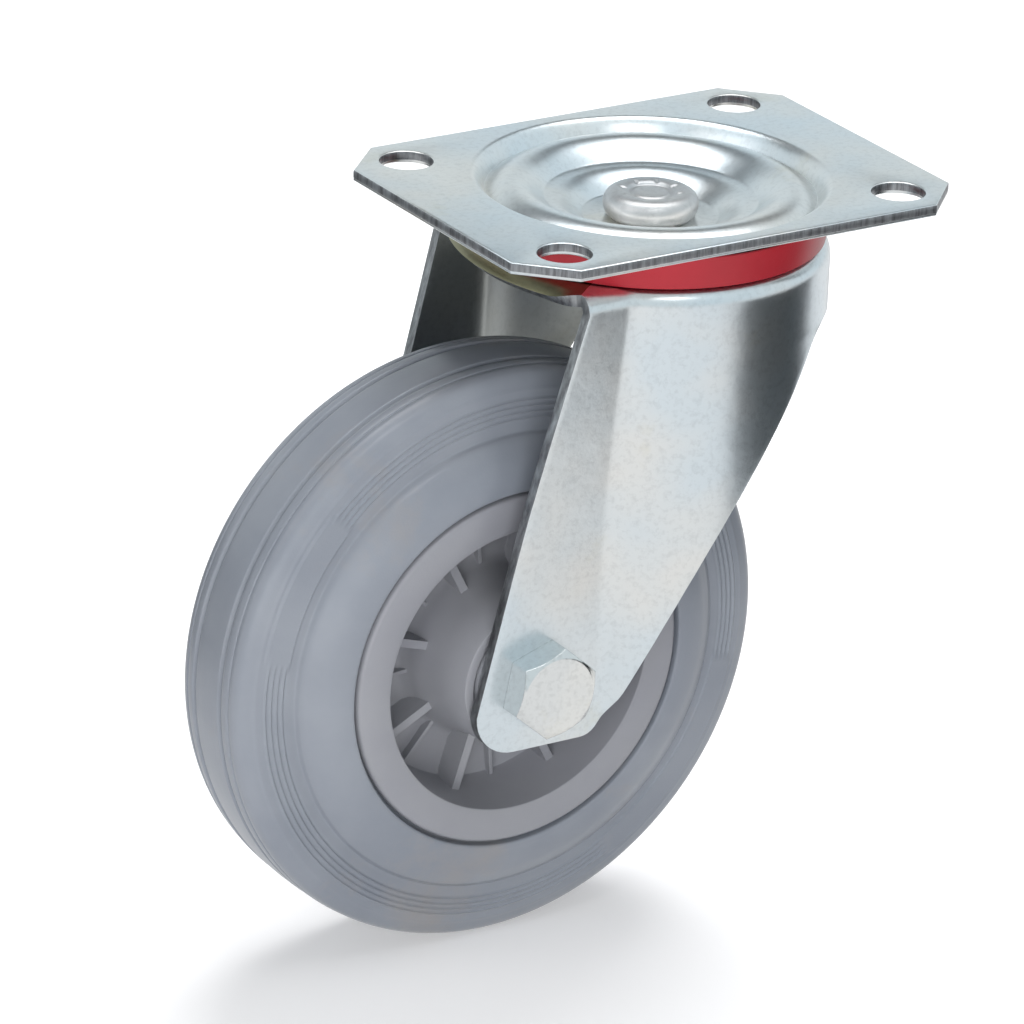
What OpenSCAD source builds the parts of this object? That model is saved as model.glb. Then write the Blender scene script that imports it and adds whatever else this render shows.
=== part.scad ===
// Swivel castor with a top plate, a pressed fork and a solid tyre.
// Origin: centre of the plate's top face. +X runs along the plate, away from the trailing wheel.

/* [Top plate] */
// Length of the plate along X
plate_l = 105; // [98:1:120]
// Width of the plate along Y
plate_w = 80; // [78:1:95]
// Thickness of the plate's sheet
plate_t = 2.5; // [2:0.1:2.8]
// Length cut off along each side at a plate corner
plate_chamfer = 10; // [4:0.5:12]
// Spacing of the bolt holes along X
hole_dx = 80; // [78:1:88]
// Spacing of the bolt holes along Y
hole_dy = 60; // [58:1:64]
// Diameter of the bolt holes
hole_d = 11; // [7:0.5:11.5]
// Depth of the recess floor under the top face
recess_depth = 8.4; // [8:0.1:8.6]
// Radial distance from the upper ball row out to the recess's rounded lip
lip_run = 8.5; // [8.3:0.1:9.2]
// Radial distance from the upper ball row in to the recess's flat floor
floor_run = 14.7; // [14.5:0.1:15.5]

/* [Swivel bearing] */
// Pitch radius of the upper ball row
upper_row_r = 28.5; // [28:0.1:29]
// Diameter of an upper ball
upper_ball_d = 6.4; // [6:0.1:6.5]
// Length of row that each ball takes up, in ball diameters
ball_pitch = 1.07; // [1.05:0.01:2]
// Pitch radius of the lower ball row
lower_row_r = 20; // [19.6:0.1:20.3]
// Diameter of a lower ball
lower_ball_d = 5.5; // [5:0.1:5.8]
// Gap between a ball and the race that rolls on it
race_gap = 0.25; // [0.1:0.05:0.4]
// Radius of the king pin's barrel head
pin_head_r = 9.8; // [8:0.1:11]
// Height of the king pin's barrel head
pin_head_h = 5.6; // [4:0.1:7]
// Radius of the king pin's shank
pin_shank_r = 6; // [4.5:0.1:6.5]
// Radial distance from the recess's lip in to the dust seal's foot
seal_inset = 1.1; // [0.8:0.1:1.4]
// Gap between the dust seal's foot and the fork crown
seal_gap = 0.25; // [0.15:0.05:0.5]

/* [Fork] */
// Thickness of the fork's sheet
fork_t = 2.5; // [2.2:0.1:3]
// Radial distance from the dust seal's foot out to the half-drum at the fork's front
drum_step = 1.1; // [1:0.1:2]
// Half the width over the fork's legs
leg_out = 27.5; // [27.2:0.1:29]
// Distance that each leg leans outward at its top
leg_flare = 2; // [0:0.1:3]
// Height of the fork crown's top under the plate's top face
crown_drop = 11.3; // [11.2:0.1:11.6]
// Outside radius of the bend between the crown and the drum
shoulder_r = 4; // [3.6:0.1:5]
// Outside radius of the bend between the crown and each leg
leg_bend_r = 3.2; // [3.1:0.1:4]
// Offset of the axle behind the swivel axis
trail = 39.3; // [37:0.1:42]
// Height of the front wall's lower edge under the plate's top face
front_edge_drop = 26; // [22:0.5:30]
// Radius of the crown's rear rim in plan
rear_rim_r = 49; // [47:0.5:52]
// Angle through which the crown's rear rim is bent down
rim_bend = 55; // [30:1:70]

/* [Wheel] */
// Diameter of the tyre
tyre_d = 125; // [123:0.5:127]
// Width of the tyre at its foot
tyre_w = 37.5; // [36.5:0.5:38.5]
// Gap between the tyre and the underside of the swivel bearing
tyre_clear = 10.35; // [8:0.05:13]
// Outer radius of the rim's ring
rim_r = 38; // [37:0.1:38.5]
// Inner radius of the rim's ring
rim_bowl_r = 30.6; // [29.5:0.1:31.5]
// Half the length of the hub barrel
hub_half = 23.5; // [23:0.1:23.8]
// Outer radius of the hub barrel at its end
hub_end_r = 15.8; // [15.2:0.1:16.5]
// Number of ribs on each side of the web
rib_n = 8; // [5:1:10]
// Thickness of a rib
rib_t = 1.8; // [1.2:0.1:2.6]

/* [Axle] */
// Diameter of the axle bolt
bolt_d = 10; // [9:0.5:10.5]
// Size across the flats of the bolt head and the nut
hex_af = 17; // [16:0.5:18]
// Height of the bolt head
bolt_head_h = 6.4; // [5:0.1:7.5]
// Outer diameter of the axle tube
tube_d = 15; // [14:0.5:15.5]
// Diameter of a roller
roller_d = 2.9; // [2.6:0.1:3]
// Number of rollers
roller_n = 12; // [8:1:13]
// Running gap on each side of a roller
roller_gap = 0.06; // [0.04:0.01:0.1]

/* [Hidden] */
$fn = 96;

// Cut allowance past a face
eps = 1;
// Clearance between a shaft and a plain hole round it
hole_gap = 0.25;
// Gap between pieces that turn against each other face to face
face_gap = 0.3;

// Colours
zinc = [0.78, 0.82, 0.84];
steel = [0.72, 0.74, 0.76];
rubber = [0.48, 0.52, 0.56];
plastic = [0.56, 0.57, 0.60];
red = [0.60, 0.09, 0.13];

// Depths of the recess's creases and crest under the plate's top face
terrace_z = -4.7;
crest_z = -1;
trough_z = -3.5;
floor_z = -recess_depth;
// Radii of the recess, measured from the upper ball row that its crest covers
recess_lip_r = upper_row_r + lip_run;
recess_floor_r = upper_row_r - floor_run;
trough_r = recess_lip_r - 3.2;
terrace_r = upper_row_r - 6.8;
terrace_in_r = terrace_r - 1.3;

// Fork
seal_foot_r = recess_lip_r - seal_inset;
drum_r = seal_foot_r + drum_step;
leg_in = leg_out - fork_t;
crown_top = -crown_drop;
crown_under = crown_top - fork_t;
ball_z = crest_z - plate_t - race_gap - upper_ball_d / 2;
groove_r = upper_ball_d / 2 + 0.05;
race_ridge_z = ball_z - 1.5;
race_r_out = upper_row_r + 5.1;
crown_hole_r = lower_row_r - 2.6;
tip_drop = 13.5;
tip_rear = 15.4;
tip_front = 14.1;
tip_rear_r = 9;
tip_front_r = 4.5;
lean_low = 0.249;
lean_high = 0.3;
lean_z = -57;
rim_centre_x = 8;
rim_bend_r = 5;

// Lower race
lower_ball_z = crown_under + 0.9 - race_gap - lower_ball_d / 2;
cup_t = 2.5;
cup_groove_r = lower_ball_d / 2 + 0.05;
cup_hub_r = lower_row_r - 8;
cup_wall_r = lower_row_r - 4.6;
cup_r = lower_row_r + 3.4;
plate_under = floor_z - plate_t;
cup_low = lower_ball_z - lower_ball_d / 2 - cup_t;
total_h = tyre_d + tyre_clear - cup_low;
axle_z = -total_h + tyre_d / 2;

// Dust seal
seal_foot_z = crown_top + seal_gap;
seal_top_z = trough_z - plate_t;
seal_in_r = seal_foot_r - 1.3;
seal_flare = 1.1;
// The seal's top ends just outside the corner where the plate's trough starts to rise
seal_seat_r = trough_r + 1.4;

// Wheel
tyre_r = tyre_d / 2;
tyre_half = tyre_w / 2;
web_half = 3.5;
rib_h = 10;
rib_phase = 118;
bore_r = tube_d / 2 + roller_d + 2 * roller_gap;
roller_pitch_r = tube_d / 2 + roller_gap + roller_d / 2;
roller_l = 34;
cage_end = 3;
washer_r = hub_end_r - 2.5;
washer_t = 2.4;
seat_r = rim_r - 2;
tube_bore_r = bolt_d / 2 + hole_gap;

// Far end of the axle: washer, nut with a rounded collar, and the nylon ring that locks it
washer_h = 2;
nut_h = 8;
collar_h = 2.4;

// Points of a quarter wave from [r0, z0], where it is steep, to [r1, z1], where it lies flat
function quarter(r0, z0, r1, z1, n = 7) =
    [for (i = [0:n]) [r0 + (r1 - r0) * i / n, z0 + (z1 - z0) * sin(90 * i / n)]];
function reversed(p) = [for (i = [len(p) - 1:-1:0]) p[i]];

// Points of an arc round c from angle a0 to a1
function arc(c, r, a0, a1, n = 8) =
    [for (i = [0:n]) c + r * [cos(a0 + (a1 - a0) * i / n), sin(a0 + (a1 - a0) * i / n)]];

// One face of the plate's recess from the axis to its lip: drop is how far it lies under the top
// face and widen is how far a rising step moves outward on that face
function recess_face(drop, widen) = concat(
    [[0, floor_z - drop]],
    quarter(recess_floor_r + widen, floor_z - drop, terrace_in_r + widen, terrace_z - 0.2 - drop),
    quarter(terrace_r + widen, terrace_z - drop, upper_row_r, crest_z - drop),
    reversed(quarter(trough_r - 0.4 * widen, trough_z - drop, upper_row_r, crest_z - drop)),
    quarter(trough_r + 1.3 * widen, trough_z - drop, recess_lip_r + 1.2 * widen, -drop)
);

module plate_outline() {
    x = plate_l / 2;
    y = plate_w / 2;
    c = plate_chamfer;
    polygon([
        [x, y - c], [x - c, y], [c - x, y], [-x, y - c],
        [-x, c - y], [c - x, -y], [x - c, -y], [x, c - y]
    ]);
}

// Plate with its stepped recess: the outline is cut by the recess and filled by a revolved sheet
module mounting_plate() color(zinc) {
    blend_r = recess_lip_r + 1.2 + 0.2;
    difference() {
        union() {
            difference() {
                translate([0, 0, -plate_t]) linear_extrude(plate_t) plate_outline();
                translate([0, 0, -plate_t - eps]) cylinder(h = plate_t + 2 * eps, r = blend_r);
            }
            rotate_extrude() polygon(concat(
                recess_face(0, 0), [[blend_r, 0], [blend_r, -plate_t]], reversed(recess_face(plate_t, 1))
            ));
        }
        for (x = [-1, 1], y = [-1, 1])
            translate([x * hole_dx / 2, y * hole_dy / 2, -plate_t - eps])
                cylinder(h = plate_t + 2 * eps, d = hole_d);
        translate([0, 0, plate_under - eps]) cylinder(h = plate_t + 2 * eps, r = pin_shank_r);
    }
}

// King pin: barrel head with a stake groove, shank, and a closed head under the lower race
module king_pin() color(steel) {
    head_top = floor_z + pin_head_h;
    bulge = 0.8;
    cup_under = plate_under - cup_t;
    rotate_extrude() polygon(concat(
        [[0, head_top - 0.5], [3.6, head_top - 0.5], [3.9, head_top - 0.9], [4.7, head_top - 0.9],
         [5, head_top - 0.5], [7.4, head_top - 0.2]],
        [for (i = [0:8]) [pin_head_r - bulge + bulge * sin(20 + 140 * i / 8),
                          head_top - 0.4 - (pin_head_h - 0.4) * i / 8]],
        [[pin_shank_r, floor_z], [pin_shank_r, cup_under], [8.6, cup_under], [8.6, cup_under - 1.6],
         [6.6, cup_under - 3], [0, cup_under - 3]]
    ));
}

// Lower race: a dished ring clamped under the plate's floor
module lower_race() color(steel) {
    rim_z = lower_ball_z - 0.6;
    rotate_extrude() difference() {
        polygon([
            [pin_shank_r, plate_under], [cup_hub_r, plate_under], [cup_wall_r, plate_under - 5],
            [cup_wall_r, rim_z], [cup_r, rim_z], [cup_r, cup_low], [cup_wall_r - 0.4, cup_low],
            [cup_hub_r - 1.4, plate_under - cup_t], [pin_shank_r, plate_under - cup_t]
        ]);
        translate([lower_row_r, lower_ball_z]) circle(cup_groove_r);
    }
}

// Dust seal: a skirt that flares upward, seated under the plate's trough
module dust_seal() color(red) {
    rotate_extrude() polygon([
        [seal_in_r, seal_foot_z], [seal_foot_r, seal_foot_z],
        [seal_foot_r + seal_flare, seal_top_z + 1.7], [seal_foot_r + seal_flare - 0.3, seal_top_z + 1.9],
        [seal_seat_r, seal_top_z], [seal_in_r, seal_top_z]
    ]);
}

module ball_row(row_r, ball_d, z) {
    n = floor(2 * PI * row_r / (ball_pitch * ball_d));
    for (i = [0:n - 1])
        rotate([0, 0, 360 * i / n]) translate([row_r, 0, z]) sphere(d = ball_d, $fn = 24);
}

module upper_balls() color(steel) ball_row(upper_row_r, upper_ball_d, ball_z);
module lower_balls() color(steel) ball_row(lower_row_r, lower_ball_d, lower_ball_z);

// Half section of a pan: half width w at its mouth and w + flare under its rounded edge of radius r
module pan_half_2d(w, flare, z, r, z_end) {
    polygon([
        [0, z], [w + flare - r, z], [w + flare, z - r], [w, lean_z], [w, z_end], [0, z_end]
    ]);
    translate([w + flare - r, z - r]) circle(r);
}

// Solid under the pressed drum, which is round about the swivel axis
module drum_mass(inset) {
    low = axle_z - tip_drop - eps;
    rotate_extrude() pan_half_2d(drum_r - inset, 0, crown_top - inset, shoulder_r - inset, low);
}

// Solid between the two legs, behind the swivel axis
module leg_mass(inset) {
    low = axle_z - tip_drop - eps;
    rotate([90, 0, -90]) linear_extrude(trail + tip_rear + 10) for (side = [0, 1]) mirror([side, 0])
        pan_half_2d(leg_out - inset, leg_flare, crown_top - inset, leg_bend_r - inset, low);
}

// Side outline of the fork: rear edge that steepens downward, rounded tip, bowed front edge
module fork_side() {
    bottom = axle_z - tip_drop;
    tip_x = -trail - tip_rear;
    tip_z = bottom + tip_rear_r;
    bend_x = tip_x + (lean_z - tip_z) * lean_low;
    top = crown_top + eps;
    front = [-trail + tip_front, bottom];
    knee = [18, -front_edge_drop - 6];
    bow = 3.5;
    run = knee - front;
    side = [-run[1], run[0]] / norm(run);
    polygon(concat(
        [[bend_x + (top - lean_z) * lean_high, top], [bend_x, lean_z]],
        arc([tip_x + tip_rear_r, tip_z], tip_rear_r, 180, 270),
        arc(front + tip_front_r * [-1, 1], tip_front_r, 270, 330, 4),
        [for (i = [1:9]) front + run * i / 10 + side * bow * sin(18 * i)],
        arc(knee + [9, -3.5], 9.6, 150, 92, 6),
        [[drum_r + eps, -front_edge_drop], [drum_r + eps, top]]
    ));
}

// Rear rim of the crown: the sheet is bent down behind the races and trimmed square to its surface
module rear_rim() {
    bend_centre = rear_rim_r - rim_bend_r;
    shelf = 16;
    intersection() {
        translate([rim_centre_x, 0, 0]) rotate_extrude() translate([bend_centre, crown_top - rim_bend_r]) {
            intersection() {
                difference() {
                    circle(rim_bend_r);
                    circle(rim_bend_r - fork_t);
                }
                polygon([[0, 0], [0, 9], [9, 9], 12 * [sin(rim_bend), cos(rim_bend)]]);
            }
            translate([-shelf, rim_bend_r - fork_t]) square([shelf, fork_t]);
        }
        leg_mass(0);
        translate([-60, -50, crown_top - 10]) cube([45, 100, 12]);
    }
}

// Fork: one pressed sheet, with the two ball races pressed into its crown
module fork() color(zinc) {
    difference() {
        union() {
            difference() {
                union() {
                    intersection() {
                        difference() {
                            union() {
                                drum_mass(0);
                                leg_mass(0);
                            }
                            drum_mass(fork_t);
                            leg_mass(fork_t);
                        }
                        rotate([90, 0, 0]) translate([0, 0, -drum_r - eps])
                            linear_extrude(2 * drum_r + 2 * eps) fork_side();
                    }
                    rear_rim();
                }
                translate([0, 0, crown_under - eps]) cylinder(h = fork_t + 2 * eps, r = race_r_out);
            }
            rotate_extrude() crown_race_2d();
        }
        translate([-trail, 0, axle_z]) rotate([90, 0, 0])
            cylinder(h = 2 * leg_out + 2 * eps, d = bolt_d + 2 * hole_gap, center = true);
    }
}

// Section of the crown's race: upper groove on top, lower groove under the inner lip
module crown_race_2d() {
    ridge_in = upper_row_r - 4;
    ridge_out = upper_row_r + 3.7;
    difference() {
        polygon([
            [crown_hole_r, crown_top + 0.3], [crown_hole_r + 4, crown_top + 0.5], [ridge_in, race_ridge_z],
            [ridge_out, race_ridge_z], [race_r_out, crown_top], [race_r_out + 0.6, crown_top],
            [race_r_out + 0.6, crown_under], [race_r_out - 0.4, crown_under], [ridge_out - 1, crown_under + 0.9],
            [ridge_in + 1, crown_under + 0.9], [ridge_in, crown_under], [crown_hole_r, crown_under]
        ]);
        translate([upper_row_r, ball_z]) circle(groove_r);
        translate([lower_row_r, lower_ball_z]) circle(lower_ball_d / 2 + race_gap);
    }
}

// Turns a shape drawn round Z so that it lies round the axle
module on_axle(y = 0) {
    translate([-trail, y, axle_z]) rotate([-90, 0, 0]) children();
}

// Hexagon across flats af, with its corners turned as the bolt head stands
module hex_bar(af, h) rotate(-19) cylinder(h = h, d = af / cos(30), $fn = 6);

// Cone that rounds off the corners of a hexagon at its free end
module corner_chamfer(af, h) {
    cylinder(h = h - 1.6, r = af);
    translate([0, 0, h - 1.6]) cylinder(h = 1.6, r1 = af / 2 + 1.75, r2 = af / 2 - 0.4);
}

module axle_bolt() color(steel) {
    on_axle(-leg_out) mirror([0, 0, 1]) intersection() {
        hex_bar(hex_af, bolt_head_h);
        corner_chamfer(hex_af, bolt_head_h);
    }
    end = 2 * leg_out + washer_h + nut_h + collar_h + eps;
    on_axle(-leg_out - eps) rotate_extrude()
        polygon([[0, 0], [bolt_d / 2, 0], [bolt_d / 2, end], [bolt_d / 2 - 1, end + 1], [0, end + 1]]);
}

module axle_tube() color(steel) on_axle(-leg_in) ring(2 * leg_in, tube_d / 2, tube_bore_r);

// Plain ring along Z
module ring(h, r_out, r_in) rotate_extrude() translate([r_in, 0]) square([r_out - r_in, h]);

module thrust_washer() ring(washer_t, washer_r, tube_d / 2 + 0.1);
module thrust_washer_near() color(plastic) on_axle(-leg_in) thrust_washer();
module thrust_washer_far() color(plastic) on_axle(leg_in - washer_t) thrust_washer();

module nut_washer() color(steel) on_axle(leg_out) ring(washer_h, bolt_d, bolt_d / 2 + hole_gap);

module axle_nut() color(steel) on_axle(leg_out + washer_h) difference() {
    union() {
        intersection() {
            hex_bar(hex_af, nut_h);
            corner_chamfer(hex_af, nut_h);
        }
        cylinder(h = nut_h + collar_h, r = hex_af / 2 - 1);
    }
    translate([0, 0, -eps]) cylinder(h = nut_h + collar_h + 2 * eps, r = bolt_d / 2 + 0.02);
    translate([0, 0, nut_h - 0.6]) cylinder(h = collar_h + 2, r = bolt_d / 2 + 1.6);
}

module nut_ring() color(red)
    on_axle(leg_out + washer_h + nut_h - 0.6) ring(collar_h, bolt_d / 2 + 1.6, bolt_d / 2 + 0.02);

// Half section of the rim moulding, drawn as [radius, distance from the mid plane]
module rim_half_2d() {
    ring_y = tyre_half + 0.25;
    counterbore = washer_t - (leg_in - hub_half) + face_gap;
    polygon(concat(
        [[bore_r, 0], [bore_r, hub_half - counterbore], [washer_r + 0.5, hub_half - counterbore],
         [washer_r + 0.5, hub_half], [hub_end_r - 0.4, hub_half], [hub_end_r, hub_half - 0.4],
         [hub_end_r + 0.8, rib_h + 1], [hub_end_r + 2.2, web_half + 1.2], [hub_end_r + 3.4, web_half]],
        [[rim_bowl_r - 2.6, web_half], [rim_bowl_r - 1.4, web_half + 1.2], [rim_bowl_r, ring_y - 0.3],
         [rim_bowl_r + 0.3, ring_y], [rim_r - 0.8, ring_y - 0.3], [rim_r, ring_y - 1.2],
         [rim_r, ring_y - 2.6], [seat_r, ring_y - 3.4], [seat_r, 0]]
    ));
}

// Ribs of one side: thick ones from barrel to ring, thin short ones between them
module ribs_side() {
    step = 360 / rib_n;
    for (i = [0:rib_n - 1]) {
        rotate(-rib_phase - i * step) translate([hub_end_r - 1, -rib_t / 2, 0])
            cube([rim_bowl_r - hub_end_r + 1, rib_t, rib_h]);
        rotate(-rib_phase - (i + 0.5) * step) translate([hub_end_r - 1, -0.4, 0])
            cube([9, 0.8, rib_h - 2.4]);
    }
}

module rim() color(plastic) on_axle()
    for (side = [0, 1]) mirror([0, 0, side]) {
        rotate_extrude() rim_half_2d();
        ribs_side();
    }

// Half section of the tyre, drawn as [radius, distance from the mid plane]
module tyre_half_2d() {
    foot = seat_r + 0.05;
    groove = 0.6;
    polygon([
        [foot, 0], [foot, tyre_half - 3.3], [rim_r + 0.6, tyre_half - 2.3], [rim_r + 0.6, tyre_half - 0.4],
        [rim_r + 1.2, tyre_half], [tyre_r - 20.6, tyre_half - 0.3], [tyre_r - 17.4, tyre_half - 1.4],
        [tyre_r - 16.2, tyre_half - 3], [tyre_r - 14, tyre_half - 4.1], [tyre_r - 10.8, tyre_half - 5.2],
        [tyre_r - 10.4, tyre_half - 5], [tyre_r - 10, tyre_half - 5.4],
        [tyre_r - 8.8, tyre_half - 5.7], [tyre_r - 8.4, tyre_half - 5.5], [tyre_r - 8, tyre_half - 5.9],
        [tyre_r - 6.9, tyre_half - 6.1], [tyre_r - 6.5, tyre_half - 5.9], [tyre_r - 6.1, tyre_half - 6.3],
        [tyre_r - 3.7, tyre_half - 6.4], [tyre_r - 1.9, tyre_half - 7.1], [tyre_r - 0.9, tyre_half - 8],
        [tyre_r - 0.3, tyre_half - 9.1], [tyre_r - 0.1, 5.8], [tyre_r - 0.1 - groove, 5.4],
        [tyre_r - 0.1 - groove, 4.7], [tyre_r - 0.1, 4.3], [tyre_r, 1.5], [tyre_r, 0]
    ]);
}

module tyre() color(rubber) on_axle()
    for (side = [0, 1]) mirror([0, 0, side]) rotate_extrude() tyre_half_2d();

module roller_positions() {
    for (i = [0:roller_n - 1]) rotate(360 * i / roller_n) translate([roller_pitch_r, 0, 0]) children();
}

module roller_cage() color("ivory") on_axle() difference() {
    translate([0, 0, -roller_l / 2 - cage_end]) ring(roller_l + 2 * cage_end, bore_r - 0.2, tube_d / 2 + 0.3);
    roller_positions() translate([-roller_d, -roller_d / 2 - 0.15, -roller_l / 2 - 0.15])
        cube([2 * roller_d, roller_d + 0.3, roller_l + 0.3]);
}

module rollers() color(steel) on_axle()
    roller_positions() cylinder(h = roller_l, d = roller_d, center = true);

mounting_plate();
king_pin();
lower_race();
dust_seal();
lower_balls();
fork();
upper_balls();
axle_bolt();
axle_tube();
thrust_washer_near();
thrust_washer_far();
nut_washer();
axle_nut();
nut_ring();
rim();
tyre();
roller_cage();
rollers();
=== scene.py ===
"""Studio scene of a swivel castor with a top plate, a pressed fork and a grey rubber tyre.

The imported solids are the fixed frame. Each sub-assembly dresses its own nodes, and replaces those whose
surface carries detail that the solids leave out.
"""

import logging
import math
from collections.abc import Callable
from dataclasses import dataclass, field
from enum import Enum

import bmesh
import bpy
from mathutils import Matrix, Vector


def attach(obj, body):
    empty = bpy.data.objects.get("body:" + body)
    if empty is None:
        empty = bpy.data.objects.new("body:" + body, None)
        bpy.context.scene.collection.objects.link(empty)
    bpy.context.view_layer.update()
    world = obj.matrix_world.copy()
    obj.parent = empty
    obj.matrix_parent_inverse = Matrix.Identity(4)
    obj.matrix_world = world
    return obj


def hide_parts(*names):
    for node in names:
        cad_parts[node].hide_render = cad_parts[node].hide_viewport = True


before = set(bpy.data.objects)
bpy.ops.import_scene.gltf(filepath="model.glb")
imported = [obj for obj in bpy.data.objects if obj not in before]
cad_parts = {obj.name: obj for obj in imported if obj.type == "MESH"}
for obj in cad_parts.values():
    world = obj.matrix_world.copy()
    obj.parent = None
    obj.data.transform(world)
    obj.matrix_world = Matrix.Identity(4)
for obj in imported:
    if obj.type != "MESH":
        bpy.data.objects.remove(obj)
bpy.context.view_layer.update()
LOG = logging.getLogger("castor")
MM = 0.001
AXLE = Vector((-0.0393, 0.0, -0.094))

Colour = tuple[float, float, float]
Profile = list[tuple[float, float]]
Table = tuple[tuple[float, float], ...]
Socket = bpy.types.NodeSocket


def grey(level: float) -> Colour:
    """Returns a neutral colour of one level."""
    return (level, level, level)


# finishes


@dataclass(frozen=True)
class Pattern:
    """A noise: features per metre, octaves, how strong they are, and the two levels that a ramp joins."""

    scale: float
    detail: float = 3.0
    rough: float = 0.55
    low: float = 0.3
    high: float = 0.7


def set_up(thing: bpy.types.bpy_struct, **settings: object) -> bpy.types.bpy_struct:
    """Sets attributes by name.

    Args:
        thing: What has them.
        settings: Their values.

    Returns:
        The thing.
    """
    for label, value in settings.items():
        setattr(thing, label, value)
    return thing


def wire(node: bpy.types.Node, *ordered: object, **named: object) -> bpy.types.Node:
    """Links a node's inputs or gives them values.

    Args:
        node: The node.
        ordered: What the first inputs get: a socket, a node whose first output counts, or a value. None
            leaves an input as it is.
        named: The same by name, with a low line for a blank.

    Returns:
        The node.
    """
    pairs = list(zip(node.inputs, ordered))
    for label, given in named.items():
        name = label.replace("_", " ")
        pairs.append((next(each for each in node.inputs if each.enabled and each.name == name), given))
    for socket, given in pairs:
        if isinstance(given, bpy.types.Node):
            given = given.outputs[0]
        if isinstance(given, Socket):
            node.id_data.links.new(given, socket)
        elif given is not None:
            socket.default_value = given
    return node


class Tree:
    """A material's node tree, with short ways to add what the finishes share."""

    def __init__(self, name: str) -> None:
        """Creates the material and its Principled shader.

        Args:
            name: The material's name.
        """
        self.material = bpy.data.materials.new(name)
        self.material.use_nodes = True
        self.nodes = self.material.node_tree.nodes
        self.coords = self.nodes.new("ShaderNodeTexCoord").outputs["Object"]

    def finish(self, **inputs: object) -> bpy.types.Material:
        """Wires the Principled shader and returns the material."""
        wire(self.nodes["Principled BSDF"], **inputs)
        return self.material

    def noise(self, pattern: Pattern, stretch: Colour | None = None) -> Socket:
        """Adds a noise texture on Object coordinates.

        Args:
            pattern: The noise.
            stretch: Scale of the coordinates along each axis, where the pattern is drawn out.

        Returns:
            The noise's value socket.
        """
        place = self.coords
        if stretch:
            place = wire(self.nodes.new("ShaderNodeMapping"), Vector=self.coords, Scale=stretch).outputs[0]
        tex = wire(self.nodes.new("ShaderNodeTexNoise"), Vector=place, Scale=pattern.scale,
                   Detail=pattern.detail, Roughness=pattern.rough)
        return tex.outputs["Fac"]

    def ramp(self, pattern: Pattern, start: Colour, end: Colour, value: Socket | None = None) -> Socket:
        """Adds a colour ramp between a pattern's two levels.

        Args:
            pattern: The noise.
            start: Colour at and below its low level.
            end: Colour at and above its high level.
            value: The noise's socket, where it is there already.

        Returns:
            The ramp's colour socket.
        """
        node = self.nodes.new("ShaderNodeValToRGB")
        first, last = node.color_ramp.elements
        first.position, first.color = pattern.low, (*start, 1.0)
        last.position, last.color = pattern.high, (*end, 1.0)
        return wire(node, Fac=self.noise(pattern) if value is None else value).outputs["Color"]

    def span(self, pattern: Pattern, start: float, end: float) -> Socket:
        """Adds a map from a pattern's two levels to two numbers and returns its socket."""
        return wire(self.nodes.new("ShaderNodeMapRange"), Value=self.noise(pattern), From_Min=pattern.low,
                    From_Max=pattern.high, To_Min=start, To_Max=end).outputs["Result"]

    def mix(self, factor: Socket | float, first: Socket, second: object, mode: str = "MIX") -> Socket:
        """Adds a colour mix.

        Args:
            factor: A socket, or a number that holds everywhere.
            first: The colour under it.
            second: The colour over it, as a socket or four numbers.
            mode: Blender's blend mode.

        Returns:
            The mixed colour socket.
        """
        node = set_up(self.nodes.new("ShaderNodeMix"), data_type="RGBA", blend_type=mode)
        wire(node, Factor=factor, A=first, B=second)
        return next(each for each in node.outputs if each.enabled)

    def bump(self, height: Socket, depth: float, under: Socket | None = None) -> Socket:
        """Adds a bump, whose depth in metres may lie on another normal, and returns its socket."""
        return wire(self.nodes.new("ShaderNodeBump"), Height=height, Distance=depth, Strength=1.0,
                    Normal=under).outputs["Normal"]

    def rounded(self, radius: float) -> Socket:
        """Adds a rounding of sharp edges, with a radius in metres, and returns its normal socket."""
        node = set_up(self.nodes.new("ShaderNodeBevel"), samples=6)
        return wire(node, Radius=radius).outputs["Normal"]


@dataclass(frozen=True)
class ZincPlate:
    """Blue-passivated zinc on steel: cool satin metal with faint yellow stains and a fine grain."""

    name: str
    cool: Colour = (0.70, 0.77, 0.81)
    warm: Colour = (0.81, 0.80, 0.77)
    stain: Colour = (0.62, 0.58, 0.40)
    stain_share: float = 0.4
    speck: float = 0.90
    rough: float = 0.30
    grain_depth: float = 0.000022
    dent_depth: float = 0.00018
    edge: float = 0.0003
    clouds: Pattern = Pattern(22.0, low=0.40, high=0.64)
    spots: Pattern = Pattern(48.0, 5.0, 0.65, 0.60, 0.80)
    specks: Pattern = Pattern(800.0, 3.0, 0.65, 0.32, 0.52)
    dents: Pattern = Pattern(60.0)
    grain: Pattern = Pattern(1200.0, 3.0, 0.7)

    def build(self) -> bpy.types.Material:
        """Builds the finish.

        Returns:
            The material.
        """
        t = Tree(self.name)
        clouds = t.ramp(self.clouds, self.cool, self.warm)
        spots = t.ramp(self.spots, grey(0.0), grey(self.stain_share))
        tone = t.mix(spots, clouds, (*self.stain, 1.0))
        specks = t.ramp(self.specks, grey(self.speck), grey(1.0))
        under = t.rounded(self.edge) if self.edge else None
        dents = t.bump(t.noise(self.dents), self.dent_depth, under)
        return t.finish(Metallic=1.0, Roughness=self.rough, Base_Color=t.mix(1.0, tone, specks, "MULTIPLY"),
                        Normal=t.bump(t.noise(self.grain), self.grain_depth, dents))


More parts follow.
